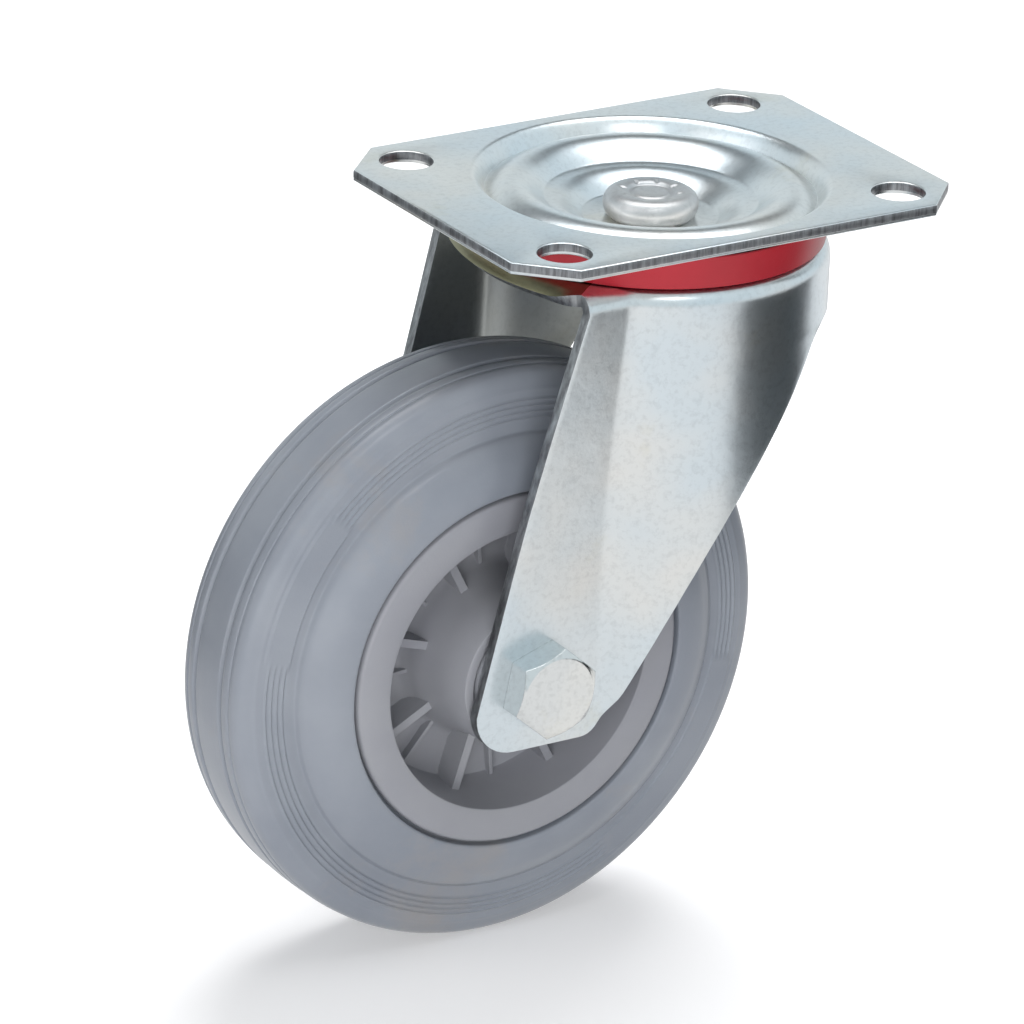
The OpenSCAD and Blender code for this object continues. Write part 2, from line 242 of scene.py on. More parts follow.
@dataclass(frozen=True)
class CutEdge:
    """Sheared edge of zinc sheet: dark, dull metal with fine streaks across the thickness."""

    name: str
    dark: Colour = (0.17, 0.17, 0.18)
    light: Colour = (0.42, 0.44, 0.46)
    rough: tuple[float, float] = (0.36, 0.52)
    streaks: Pattern = Pattern(700.0, 4.0, 0.7, 0.36, 0.66)
    stretch: Colour = (1.0, 1.0, 0.12)
    streak_depth: float = 0.00006
    gloss: Pattern = Pattern(500.0)

    def build(self) -> bpy.types.Material:
        """Builds the finish.

        Returns:
            The material.
        """
        t = Tree(self.name)
        streaks = t.noise(self.streaks, self.stretch)
        return t.finish(Metallic=1.0, Base_Color=t.ramp(self.streaks, self.dark, self.light, streaks),
                        Roughness=t.span(self.gloss, *self.rough), Normal=t.bump(streaks, self.streak_depth))


@dataclass(frozen=True)
class Moulding:
    """Moulded plastic or rubber: an even colour with faint clouds, a fine skin and a soft gloss."""

    name: str
    colour: Colour
    cloud: Colour
    dust: Colour | None = None
    dust_share: float = 0.75
    rough: float = 0.45
    edge: float = 0.0002
    skin_depth: float = 0.00002
    clouds: Pattern = Pattern(35.0, 5.0, low=0.35)
    patches: Pattern = Pattern(26.0, 6.0, 0.7, 0.56, 0.74)
    skin: Pattern = Pattern(1800.0)

    def build(self) -> bpy.types.Material:
        """Builds the finish.

        Returns:
            The material.
        """
        t = Tree(self.name)
        tone = t.ramp(self.clouds, self.colour, self.cloud)
        if self.dust:
            patches = t.ramp(self.patches, grey(0.0), grey(self.dust_share))
            tone = t.mix(patches, tone, (*self.dust, 1.0))
        skin = t.bump(t.noise(self.skin), self.skin_depth, t.rounded(self.edge))
        return t.finish(Base_Color=tone, Roughness=self.rough, Normal=skin)


# helpers for meshes and objects


def smoothed(points: Profile, rounds: int = 2) -> Profile:
    """Cuts the corners of an open run of points again and again, and keeps its ends.

    Args:
        points: The run's points.
        rounds: How often each corner is cut.

    Returns:
        The smoother run.
    """
    for _ in range(rounds):
        cut = [points[0]]
        for (ax, ay), (bx, by) in zip(points, points[1:]):
            cut.append((ax * 0.75 + bx * 0.25, ay * 0.75 + by * 0.25))
            cut.append((ax * 0.25 + bx * 0.75, ay * 0.25 + by * 0.75))
        cut.append(points[-1])
        points = cut
    return points


def ring_of(bm: bmesh.types.BMesh, radius: float, z: float, steps: int,
            centre: tuple[float, float] = (0.0, 0.0)) -> list[bmesh.types.BMVert]:
    """Adds a level ring of vertices. Sizes in millimetres.

    Args:
        bm: The mesh.
        radius: The ring's radius.
        z: Its height.
        steps: How many vertices it has.
        centre: Its middle in plan.

    Returns:
        The vertices in order.
    """
    ring = []
    for i in range(steps):
        turn = math.tau * i / steps
        x, y = centre[0] + radius * math.cos(turn), centre[1] + radius * math.sin(turn)
        ring.append(bm.verts.new((x * MM, y * MM, z * MM)))
    return ring


def strip(bm: bmesh.types.BMesh, first: list, second: list, slot: int = 0) -> None:
    """Joins two open rows of as many vertices with quads of one material slot."""
    for a, b, c, d in zip(first, first[1:], second[1:], second):
        bm.faces.new((a, b, c, d)).material_index = slot


def loft(bm: bmesh.types.BMesh, rings: list, closed: bool = False, cut: range = range(0)) -> None:
    """Joins each ring of vertices to the one after it.

    Args:
        bm: The mesh.
        rings: The rings, all of as many vertices.
        closed: Whether the last ring joins the first.
        cut: Which of the joins take the second material slot.
    """
    for k, (first, second) in enumerate(zip(rings, rings[1:] + rings[:closed])):
        strip(bm, first + first[:1], second + second[:1], int(k in cut))


def round_axle(line: Profile, steps: int, start: float = 0.0,
               relief: Callable[[float, float, float], float] | None = None) -> bmesh.types.BMesh:
    """Turns a closed outline round the wheel's axle.

    Args:
        line: The outline as radius and place along the axle, in millimetres.
        steps: How many times it is set down.
        start: Angle of the first one, in degrees.
        relief: Gives how far a point stands proud, from its radius, its place and its angle.

    Returns:
        The mesh, in metres.
    """
    bm = bmesh.new()
    loops = []
    for r, y in line:
        loop = []
        for i in range(steps):
            angle = 360.0 * i / steps + start
            turn = math.radians(angle)
            proud = math.copysign(relief(r, y, angle), y) if relief else 0.0
            place = Vector((r * math.cos(turn), y + proud, r * math.sin(turn)))
            loop.append(bm.verts.new(AXLE + place * MM))
        loops.append(loop)
    loft(bm, loops, closed=True)
    return bm


def add(name: str, data: bpy.types.ID | bmesh.types.BMesh) -> bpy.types.Object:
    """Adds an object to the scene.

    Args:
        name: The object's name.
        data: Its mesh, lamp or camera, or a mesh under construction, which is freed.

    Returns:
        The object.
    """
    if isinstance(data, bmesh.types.BMesh):
        mesh = bpy.data.meshes.new(name)
        data.to_mesh(mesh)
        data.free()
        data = mesh
    obj = bpy.data.objects.new(name, data)
    bpy.context.scene.collection.objects.link(obj)
    return obj


def bake(piece: bpy.types.Object) -> None:
    """Puts what a piece's modifiers make into its mesh.

    Args:
        piece: The piece.
    """
    shown = piece.evaluated_get(bpy.context.evaluated_depsgraph_get())
    solid = bpy.data.meshes.new_from_object(shown)
    piece.modifiers.clear()
    piece.data = solid


def shade(piece: bpy.types.Object, sharp: float) -> None:
    """Shades a piece smooth and keeps the edges that are sharper than an angle in degrees."""
    piece.data.shade_smooth()
    piece.data.set_sharp_from_angle(angle=math.radians(sharp))


def enrol(piece: bpy.types.Object, body: str, node: str | None) -> None:
    """Enters a piece in the frame.

    Args:
        piece: The piece.
        body: The body that it moves with.
        node: The CAD node that it stands for.
    """
    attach(piece, body)
    if node:
        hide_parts(node)
    LOG.info("made %s: %d faces", piece.name, len(piece.data.polygons))


def piece_from(name: str, bm: bmesh.types.BMesh, materials: list[bpy.types.Material], body: str,
               node: str | None, sharp: float = 32.0) -> bpy.types.Object:
    """Turns a mesh whose place is already in it into a finished piece.

    Args:
        name: The piece's name.
        bm: The mesh.
        materials: The finishes, in slot order.
        body: The body that it moves with.
        node: The CAD node that it stands for.
        sharp: The angle in degrees past which an edge stays sharp.

    Returns:
        The piece.
    """
    bmesh.ops.recalc_face_normals(bm, faces=bm.faces)
    piece = add(name, bm)
    shade(piece, sharp)
    for material in materials:
        piece.data.materials.append(material)
    enrol(piece, body, node)
    return piece


def dress(material: bpy.types.Material, *nodes: str) -> None:
    """Gives CAD nodes their finish.

    Args:
        material: The finish.
        nodes: The nodes' names.
    """
    for node in nodes:
        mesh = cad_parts[node].data
        mesh.materials.clear()
        mesh.materials.append(material)
        LOG.info("dressed %s as %s", node, material.name)


# sub-assemblies


@dataclass
class TopPlate:
    """Plate with chamfered corners, four bolt holes and a stepped round recess. Sizes in millimetres."""

    length: float = 105.0
    width: float = 80.0
    thick: float = 2.5
    chamfer: float = 10.0
    hole_dx: float = 80.0
    hole_dy: float = 60.0
    hole_r: float = 5.5
    crest_r: float = 28.5
    crest_z: float = -1.0
    lip_r: float = 37.0
    lip_round: float = 1.4
    trough_in: float = 3.2
    trough_z: float = -3.5
    terrace_in: float = 6.8
    terrace_z: tuple[float, float] = (-4.9, -4.7)
    terrace_run: float = 1.3
    trough_widen: tuple[float, float] = (-0.4, 1.3)
    lip_widen: float = 1.2
    floor_r: float = 13.8
    floor_z: float = -8.4
    pin_r: float = 6.0
    pad_r: float = 10.0
    wave_steps: int = 12
    steps: int = 192
    hole_steps: int = 64
    edge: Table = ((0.50, 0.0), (0.22, -0.05), (0.06, -0.18), (0.0, -0.42), (0.0, -1.7), (0.05, -1.8),
                   (0.05, -2.25), (0.16, -2.42), (0.34, -2.5))
    sheared: range = range(2, 5)
    sheet: ZincPlate = ZincPlate("zinc_plate_sheet")
    cut: CutEdge = CutEdge("zinc_plate_cut")

    def wave(self, r0: float, z0: float, r1: float, z1: float) -> Profile:
        """Returns a quarter of a sine from a steep end to a level one, as radius and height."""
        shares = [i / self.wave_steps for i in range(self.wave_steps + 1)]
        return [(r0 + (r1 - r0) * t, z0 + (z1 - z0) * math.sin(math.pi / 2 * t)) for t in shares]

    def face(self, drop: float, widen: float) -> Profile:
        """Draws one face of the recess from the pin's hole out to the flat.

        Args:
            drop: How far the face lies under the top face.
            widen: How far a rising step moves outward on that face.

        Returns:
            Points as radius and height.
        """
        trough = self.lip_r - self.trough_in
        terrace = self.crest_r - self.terrace_in
        low, high = self.terrace_z
        rise, lip = [trough + share * widen for share in self.trough_widen]
        line = [(self.pin_r, self.floor_z), (self.pad_r, self.floor_z)]
        line += self.wave(self.floor_r + widen, self.floor_z, terrace - self.terrace_run + widen, low)
        line += self.wave(terrace + widen, high, self.crest_r, self.crest_z)
        line += reversed(self.wave(rise, self.trough_z, self.crest_r, self.crest_z)[:-1])
        line += self.wave(lip, self.trough_z, self.lip_r + self.lip_widen * widen, 0.0)
        line += [(self.lip_r + self.lip_round, 0.0)]
        return [(r, z - drop) for r, z in smoothed(line, 2)]

    def outline(self, inset: float) -> Profile:
        """Draws the outline in plan.

        Args:
            inset: How far it is moved inward.

        Returns:
            Its eight corners.
        """
        x, y = self.length / 2 - inset, self.width / 2 - inset
        c = self.chamfer - inset * (2 - math.sqrt(2))
        half = [(x, y - c), (x - c, y), (c - x, y), (-x, y - c)]
        return half + [(-px, -py) for px, py in half]

    def build(self) -> bpy.types.Object:
        """Builds the plate.

        Returns:
            One closed piece.
        """
        bm = bmesh.new()
        top = [ring_of(bm, r, z, self.steps) for r, z in self.face(0.0, 0.0)]
        under = [ring_of(bm, r, z, self.steps) for r, z in self.face(self.thick, 1.0)]
        loft(bm, top)
        loft(bm, under)
        loft(bm, [top[0], under[0]])
        walls = [[[bm.verts.new((x * MM, y * MM, z * MM)) for x, y in self.outline(inset)]
                  for inset, z in self.edge]]
        for sx in (-1, 1):
            for sy in (-1, 1):
                centre = (sx * self.hole_dx / 2, sy * self.hole_dy / 2)
                walls.append([ring_of(bm, self.hole_r + inset, z, self.hole_steps, centre)
                              for inset, z in self.edge])
        for wall in walls:
            loft(bm, wall, cut=self.sheared)
        for rims in ([top[-1]] + [wall[0] for wall in walls], [under[-1]] + [wall[-1] for wall in walls]):
            edges = [bm.edges.get(pair) for ring in rims for pair in zip(ring, ring[1:] + ring[:1])]
            bmesh.ops.triangle_fill(bm, edges=edges, use_beauty=True, use_dissolve=False)
        return piece_from("top_plate", bm, [self.sheet.build(), self.cut.build()], "plate", "mounting_plate")


@dataclass
class KingPin:
    """Barrel-headed pin that clamps the bearing, staked on its top. Sizes in millimetres."""

    top_z: float = -2.8
    floor_z: float = -8.4
    shank_r: float = 6.0
    foot_z: float = -13.4
    head: Table = ((0.0, -0.55), (3.4, -0.55), (3.9, -1.0), (4.7, -1.0), (5.1, -0.45), (6.0, -0.15),
                   (7.4, -0.12), (8.3, -0.35), (9.2, -1.0), (9.8, -2.2), (9.8, -3.4), (9.4, -4.6))
    seat: Table = ((8.8, 0.3), (8.5, 0.02))
    foot: Table = ((8.6, 0.0), (8.6, -1.6), (6.6, -3.0), (0.0, -3.0))
    marks: int = 8
    mark_depth: float = 0.4
    mark_edge: float = 0.72
    mark_r: float = 5.9
    mark_reach: float = 1.3
    mark_zone: tuple[float, float] = (5.0, 7.6)
    mark_foot: float = -0.6
    steps: int = 144
    finish: ZincPlate = ZincPlate("zinc_turned", cool=(0.50, 0.52, 0.54), warm=grey(0.62), rough=0.42)

    def profile(self) -> Profile:
        """Draws the pin's outline.

        Returns:
            Points from the middle of its top to the middle of its foot.
        """
        head = [(r, self.top_z + z) for r, z in self.head] + [(r, self.floor_z + z) for r, z in self.seat]
        shank = [(self.shank_r, self.floor_z), (self.shank_r, self.foot_z)]
        return smoothed(head, 2) + shank + [(r, self.foot_z + z) for r, z in self.foot]

    def stake(self, ring: list[bmesh.types.BMVert], r: float) -> None:
        """Presses the stake marks into a ring of the pin's top.

        Args:
            ring: The ring's vertices.
            r: Its radius.
        """
        near = max(0.0, 1.0 - abs(r - self.mark_r) / self.mark_reach)
        for vert in ring:
            swing = math.cos(self.marks * math.atan2(vert.co.y, vert.co.x))
            mark = max(0.0, swing - self.mark_edge) / (1.0 - self.mark_edge)
            vert.co.z -= self.mark_depth * mark * MM * near

    def build(self) -> bpy.types.Object:
        """Builds the pin.

        Returns:
            The pin with its stake marks.
        """
        bm = bmesh.new()
        line = self.profile()
        rings = []
        for r, z in line[1:-1]:
            ring = ring_of(bm, r, z, self.steps)
            if self.mark_zone[0] < r < self.mark_zone[1] and z > self.top_z + self.mark_foot:
                self.stake(ring, r)
            rings.append(ring)
        loft(bm, rings)
        for ring, z in ((rings[0], line[0][1]), (rings[-1], line[-1][1])):
            middle = bm.verts.new((0, 0, z * MM))
            for first, second in zip(ring, ring[1:] + ring[:1]):
                bm.faces.new((first, second, middle))
        return piece_from("king_pin_turned", bm, [self.finish.build()], "plate", "king_pin")


@dataclass
class Tyre:
    """Rubber tyre with grooved tread, fine rings on its sidewalls and two blank panels.

    Sizes in millimetres. The tread's points are drops under the radius with places along the axle, and the
    bead's points are radii with distances in from the tyre's side.
    """

    radius: float = 62.48
    half: float = 18.75
    foot_r: float = 36.05
    steps: int = 300
    tread: Table = ((0.0, 0.0), (0.0, 1.5), (0.1, 3.9), (0.15, 4.3), (0.9, 4.5), (0.9, 5.5), (0.15, 5.75),
                    (0.15, 6.4), (0.25, 7.7), (0.65, 7.85), (0.65, 8.3), (0.35, 8.45), (0.6, 9.6),
                    (1.2, 10.6), (2.2, 11.35), (3.9, 12.05))
    bead: Table = ((51.0, 5.45), (50.2, 5.45), (49.8, 5.4), (49.55, 5.1), (49.2, 4.4), (48.4, 3.6),
                   (46.9, 2.6), (45.4, 1.6), (43.6, 0.85), (41.9, 0.35), (40.2, 0.1), (39.2, 0.05),
                   (38.7, 0.35), (38.6, 2.3))
    foot_in: float = 3.3
    wall_r: float = 58.2
    wall_in: float = 6.45
    wall_step: tuple[float, float] = (0.2, 0.03)
    wall_points: int = 34
    rings: tuple[float, ...] = (52.6, 53.8, 55.0, 56.2)
    ring_width: float = 0.20
    ring_share: float = 0.9
    panels: Table = ((136.0, 171.5), (-62.0, -10.0))
    panel_span: tuple[float, float] = (51.7, 57.5)
    panel_margin: float = 0.6
    panel_slant: float = 1.6
    panel_fade: tuple[float, float] = (0.9, 0.3)
    sidewall_from: float = 10.0
    relief: float = 0.40
    rubber: Moulding = Moulding("tyre_rubber", (0.205, 0.225, 0.262), (0.25, 0.27, 0.305), rough=0.29,
                                edge=0.0001, dust=(0.27, 0.255, 0.25))

    def half_profile(self) -> Profile:
        """Draws one half of the outline.

        Returns:
            Points from the tread's middle over one shoulder and sidewall to the foot.
        """
        tread = [(self.radius - drop, y) for drop, y in self.tread]
        down, out = self.wall_step
        side = self.half - self.wall_in
        wall = [(self.wall_r - down * i, side + out * i) for i in range(self.wall_points)]
        bead = [(r, self.half - y) for r, y in self.bead]
        bead += [(self.foot_r, self.half - self.foot_in), (self.foot_r, 0.0)]
        return smoothed(tread, 1) + wall + smoothed(bead, 2)

    def raised(self, r: float, y: float, angle: float) -> float:
        """Finds how far the sidewall stands proud.

        Args:
            r: Radius.
            y: Place along the axle.
            angle: Angle round the axle, in degrees.

        Returns:
            The height of a panel, or of a fine ring between the panels.
        """
        low, high = self.panel_span
        if abs(y) <= self.sidewall_from or not low - self.panel_margin < r < high + self.panel_margin:
            return 0.0
        inside = 0.0
        for start, end in self.panels:
            run = min(angle - start, end - angle)
            slant = max(0.0, r - self.rings[-1]) * self.panel_slant
            inside = max(inside, min(1.0, max(0.0, (run - slant) / self.panel_fade[0])))
        across = min(1.0, max(0.0, min(r - low, high - r) / self.panel_fade[1]))
        lines = sum(math.exp(-((r - ring) / self.ring_width) ** 2) for ring in self.rings)
        return self.relief * abs(inside * across - self.ring_share * (1.0 - inside) * lines)

    def build(self) -> bpy.types.Object:
        """Builds the tyre.

        Returns:
            One closed ring round the axle.
        """
        half = self.half_profile()
        line = [(r, -y) for r, y in reversed(half[1:])] + half[:-1]
        bm = round_axle(line, self.steps, -180.0, self.raised)
        rubber = self.rubber.build()
        return piece_from("tyre_moulded", bm, [rubber], "wheel", "tyre", sharp=50.0)


@dataclass
class ForkSheet:
    """Pressed fork: a half-drum that runs into two legs, under a flat crown. Sizes in millimetres."""

    drum_r: float = 37.0
    leg_out: float = 27.5
    flare: float = 2.0
    flare_from: float = -72.0
    flare_ease: float = 0.6
    thick: float = 2.5
    crown_z: float = -11.3
    bend_r: float = 3.6
    race_r: float = 32.9
    axle_x: float = -39.3
    axle_z: float = -94.0
    bore_r: float = 5.25
    tip_drop: float = 13.5
    tip_rear: float = 15.4
    tip_r: float = 9.0
    heel_x: float = 14.1
    heel_r: float = 4.5
    heel_arc: tuple[float, float] = (270.0, 60.0)
    knee: tuple[float, float] = (18.0, -32.0)
    knee_r: float = 9.6
    knee_shift: tuple[float, float] = (9.0, -3.5)
    knee_arc: tuple[float, float] = (150.0, -58.0)
    arc_steps: int = 8
    shin_bow: float = 3.5
    shin_steps: int = 10
    front_z: float = -26.0
    kink_z: float = -57.0
    rear_slope: tuple[float, float] = (0.249, 0.268)
    rim_centre: float = 8.0
    rim_flat: float = 44.0
    rim_bend: float = 5.0
    rim_run: float = 4.1
    rim_fade: float = 9.0
    valley: float = 1.8
    tip_rows: int = 10
    leg_rows: int = 44
    drum_rows: int = 7
    bend_rows: int = 8
    leg_columns: int = 18
    leg_crowding: float = 1.5
    drum_columns: int = 34
    drum_crowding: float = 1.35
    fold_share: float = 0.12
    front_columns: int = 30
    rear_columns: int = 30
    rear_ease: float = 7.0
    spread: tuple[float, ...] = (0.0, 0.25, 0.45, 0.60, 0.72, 0.82, 0.91, 1.0)
    edge_round: float = 0.32
    edge_angle: float = 60.0
    bore_steps: int = 48
    weld: float = 0.001
    sheet: ZincPlate = ZincPlate("zinc_fork_sheet", rough=0.28, edge=0.0)
    # The inner faces take a darker zinc: painted shade for the inside of the fork, where little light
    # reaches.
    inside: ZincPlate = ZincPlate("zinc_fork_inside_painted_shade", cool=(0.36, 0.39, 0.41), warm=(0.40, 0.41, 0.38),
                                  stain=(0.36, 0.33, 0.22), rough=0.36, edge=0.0)
    # The crown's rear between the legs, out to the bent-down rim, takes a dark olive zinc: painted shade
    # from the plate above it and a painted olive reflection.
    rear_rim_painted_shade: ZincPlate = ZincPlate("zinc_fork_rear_rim", cool=(0.20, 0.19, 0.11), warm=(0.30, 0.28, 0.18),
                                    stain=(0.14, 0.11, 0.05), rough=0.34, edge=0.0)
    cut: CutEdge = CutEdge("zinc_fork_cut", dark=(0.24, 0.24, 0.25), light=(0.56, 0.58, 0.59))

    @property
    def wall_top(self) -> float:
        """Height at which the wall bends into the crown."""
        return self.crown_z - self.bend_r

    def width(self, z: float) -> float:
        """Returns half the width over the legs at a height. It grows faster towards the crown."""
        run = min(1.0, max(0.0, (z - self.flare_from) / (self.wall_top - self.flare_from)))
        return self.leg_out + self.flare * run * run * (1.0 + self.flare_ease - self.flare_ease * run)

    def rear(self, z: float) -> float:
        """Finds the legs' rear edge.

        Args:
            z: Height.

        Returns:
            Where the edge is along X.
        """
        tip_x = self.axle_x - self.tip_rear
        tip_z = self.axle_z - self.tip_drop + self.tip_r
        if z < tip_z:
            return tip_x + self.tip_r - math.sqrt(max(0.0, self.tip_r ** 2 - (z - tip_z) ** 2))
        low, high = min(z, self.kink_z), max(z, self.kink_z)
        return tip_x + (low - tip_z) * self.rear_slope[0] + (high - self.kink_z) * self.rear_slope[1]

    def front_line(self) -> Profile:
        """Draws the fork's front edge.

        Returns:
            Points as height and X, from the toe's underside up to the front wall.
        """
        def arc(z: float, x: float, radius: float, start: float, sweep: float) -> Profile:
            """Returns the points of an arc, whose angles are in degrees."""
            turns = [math.radians(start + sweep * i / self.arc_steps) for i in range(self.arc_steps + 1)]
            return [(z + radius * math.sin(turn), x + radius * math.cos(turn)) for turn in turns]

        toe_x, toe_z = self.axle_x + self.heel_x, self.axle_z - self.tip_drop
        knee_x, knee_z = self.knee
        run_x, run_z = knee_x - toe_x, knee_z - toe_z
        size = math.hypot(run_x, run_z)
        line = arc(toe_z + self.heel_r, toe_x - self.heel_r, self.heel_r, *self.heel_arc)
        for t in [i / self.shin_steps for i in range(1, self.shin_steps)]:
            bow = self.shin_bow * math.sin(math.pi * t)
            line.append((toe_z + run_z * t + run_x / size * bow, toe_x + run_x * t - run_z / size * bow))
        return line + arc(knee_z + self.knee_shift[1], knee_x + self.knee_shift[0], self.knee_r,
                          *self.knee_arc)

    def front(self, z: float) -> float:
        """Finds the front edge.

        Args:
            z: Height.

        Returns:
            Where the edge is along X.
        """
        line = self.front_line()
        if z <= line[0][0]:
            return line[0][1]
        for (z0, x0), (z1, x1) in zip(line, line[1:]):
            if z0 <= z <= z1:
                return x0 + (x1 - x0) * (z - z0) / (z1 - z0)
        return line[-1][1]

    def plan(self, run: float, w: float) -> tuple[Vector, Vector]:
        """Finds a point of the wall in plan, on the near side.

        Args:
            run: Distance along the wall from the valley where leg and drum meet, negative on the leg.
            w: Half the width over the legs.

        Returns:
            The point and its outward unit normal.
        """
        start = -math.acos(w / self.drum_r)

        def drum(distance: float) -> tuple[Vector, Vector]:
            """Returns the drum's point and normal at a distance past the corner."""
            out = Matrix.Rotation(start + distance / self.drum_r, 2) @ Vector((0.0, -1.0))
            return out * self.drum_r, out

        corner = drum(0.0)[0]
        if run <= -self.valley:
            return corner + Vector((run, 0.0)), Vector((0.0, -1.0))
        if run >= self.valley:
            return drum(run)
        t = (run + self.valley) / (2 * self.valley)
        first, last = corner - Vector((self.valley, 0.0)), drum(self.valley)[0]
        point = first * (1 - t) ** 2 + corner * 2 * t * (1 - t) + last * t * t
        along = (corner - first) * (1 - t) + (last - corner) * t
        return point, Vector((along.y, -along.x)).normalized()

    def drop(self, x: float, y: float) -> float:
        """Finds how far the crown's rear rim has bent down, which fades out at the legs.

        Args:
            x: Place in plan.
            y: Place in plan.

        Returns:
            The drop there.
        """
        past = min(self.rim_run, max(0.0, math.hypot(x - self.rim_centre, y) - self.rim_flat))
        share = min(1.0, max(0.0, (self.leg_out - abs(y)) / self.rim_fade))
        full = self.rim_bend - math.sqrt(self.rim_bend ** 2 - past ** 2) if x < 0 else 0.0
        return full * share * share * (3.0 - 2.0 * share)

    def levels(self) -> list[float]:
        """Finds the heights of the wall's rows.

        Returns:
            The heights, from the toe up to the crown's bend.
        """
        low = self.axle_z - self.tip_drop
        turns = [math.pi / 2 * i / self.tip_rows for i in range(self.tip_rows + 1)]
        rows = [low + self.tip_r * (1 - math.cos(turn)) for turn in turns]
        for end, count in ((self.front_z, self.leg_rows), (self.wall_top, self.drum_rows)):
            start = rows[-1]
            rows += [start + (end - start) * i / count for i in range(1, count + 1)]
        return rows

    def columns(self, z: float) -> list[float]:
        """Finds where one row of the wall has its vertices.

        Args:
            z: The row's height.

        Returns:
            Their runs along the wall.
        """
        w = self.width(z)
        corner = -math.sqrt(self.drum_r ** 2 - w ** 2)
        rear, front = self.rear(z) - corner, self.front(z) - corner
        if front > 0:
            front = self.drum_r * (math.asin((front + corner) / self.drum_r) + math.acos(w / self.drum_r))
        fold = min(0.0, front - self.fold_share * (front - rear))
        leg = [(1 - i / self.leg_columns) ** self.leg_crowding for i in range(self.leg_columns)]
        drum = [(i / self.drum_columns) ** self.drum_crowding for i in range(self.drum_columns + 1)]
        return ([fold + (rear - fold) * share for share in leg]
                + [fold + (front - fold) * share for share in drum])

    def wall_row(self, z: float, side: int) -> list[Vector]:
        """Returns one row of the wall, on the near side for -1 and on the far side for 1."""
        w = self.width(z)
        return [Vector((p.x, -side * p.y, z)) for p, _ in (self.plan(run, w) for run in self.columns(z))]

    def bend_row(self, turn: float, side: int) -> list[Vector]:
        """Draws one row of the bend between wall and crown.

        Args:
            turn: How far the bend has turned inward, in radians.
            side: -1 for the near side and 1 for the far side.

        Returns:
            The row's points.
        """
        w = self.width(self.wall_top)
        points = []
        for run in self.columns(self.wall_top):
            place, out = self.plan(run, w)
            place = place - out * self.bend_r * (1 - math.cos(turn))
            z = self.wall_top + (self.bend_r - self.drop(place.x, place.y)) * math.sin(turn)
            points.append(Vector((place.x, -side * place.y, z)))
        return points

    def crown_point(self, outer: Vector, share: float) -> Vector:
        """Returns the crown's point at a share of the way from the race to an outer point in plan."""
        at = (outer.normalized() * self.race_r).lerp(outer, share)
        return Vector((at.x, at.y, self.crown_z - self.drop(at.x, at.y)))

    def half_grid(self, side: int) -> list[list[Vector]]:
        """Draws one side of the sheet, from the toe up over the bend and in to the race.

        Args:
            side: -1 for the near side and 1 for the far side.

        Returns:
            The rows of points.
        """
        grid = [self.wall_row(z, side) for z in self.levels()]
        for i in range(1, self.bend_rows + 1):
            grid.append(self.bend_row(math.pi / 2 * i / self.bend_rows, side))
        edge = grid[-1]
        for share in reversed(self.spread[:-1]):
            grid.append([self.crown_point(Vector((p.x, p.y)), share) for p in edge])
        return grid

    def join_front(self, bm: bmesh.types.BMesh, near: list, far: list) -> None:
        """Closes the drum's front between the two sides, from the front wall's lower edge up.

        Args:
            bm: The mesh.
            near: The near side's rows.
            far: The far side's rows.
        """
        start = next(i for i, row in enumerate(near) if row[-1].co.z > (self.front_z - self.weld) * MM)
        last = None
        for low_near, low_far in zip(near[start:], far[start:]):
            a, b = low_near[-1], low_far[-1]
            first, end = math.atan2(a.co.y, a.co.x), math.atan2(b.co.y, b.co.x)
            radius = math.hypot(a.co.x, a.co.y)
            row = [a]
            for i in range(1, self.front_columns):
                turn = first + (end - first) * i / self.front_columns
                row.append(bm.verts.new((radius * math.cos(turn), radius * math.sin(turn), a.co.z)))
            row.append(b)
            if last:
                strip(bm, last, row)
            last = row

    def join_rear(self, bm: bmesh.types.BMesh, near: list, far: list) -> None:
        """Closes the crown's rear between the legs, out to the rim that is bent down.

        Args:
            bm: The mesh.
            near: The near side's rows.
            far: The far side's rows.
        """
        count = len(self.spread)
        last, end = [row[0] for row in near[-count:]], [row[0] for row in far[-count:]]
        corner = last[0].co / MM
        begin = math.atan2(corner.y, corner.x - self.rim_centre)
        sweep = -2 * (math.pi + begin)
        start_r = math.hypot(corner.x - self.rim_centre, corner.y)
        reach = self.rim_flat + self.rim_run
        # These columns take slot 2, the rear rim's dark olive zinc: painted shade under the plate.
        for i in range(1, self.rear_columns):
            t = i / self.rear_columns
            turn = begin + sweep * t
            ease = math.sin(math.pi / 2 * min(1.0, min(t, 1 - t) * self.rear_columns / self.rear_ease))
            radius = start_r + (reach - start_r) * ease
            outer = Vector((self.rim_centre + radius * math.cos(turn), radius * math.sin(turn)))
            column = [bm.verts.new(self.crown_point(outer, share) * MM) for share in reversed(self.spread)]
            strip(bm, last, column, 2)
            last = column
        strip(bm, last, end, 2)

    def skin(self) -> bmesh.types.BMesh:
        """Builds the sheet's outer surface.

        Returns:
            The surface, which faces outward.
        """
        bm = bmesh.new()
        near, far = [[[bm.verts.new(p * MM) for p in row] for row in self.half_grid(side)]
                     for side in (-1, 1)]
        for grid in (near, far):
            for low, high in zip(grid, grid[1:]):
                strip(bm, low, high)
        self.join_front(bm, near, far)
        self.join_rear(bm, near, far)
        bmesh.ops.remove_doubles(bm, verts=bm.verts, dist=self.weld * MM)
        bmesh.ops.recalc_face_normals(bm, faces=bm.faces)
        near_wall = Vector((0.0, -self.drum_r, self.kink_z)) * MM
        probe = min(bm.faces, key=lambda f: (f.calc_center_median() - near_wall).length)
        if probe.normal.y > 0:
            bmesh.ops.reverse_faces(bm, faces=bm.faces)
        return bm

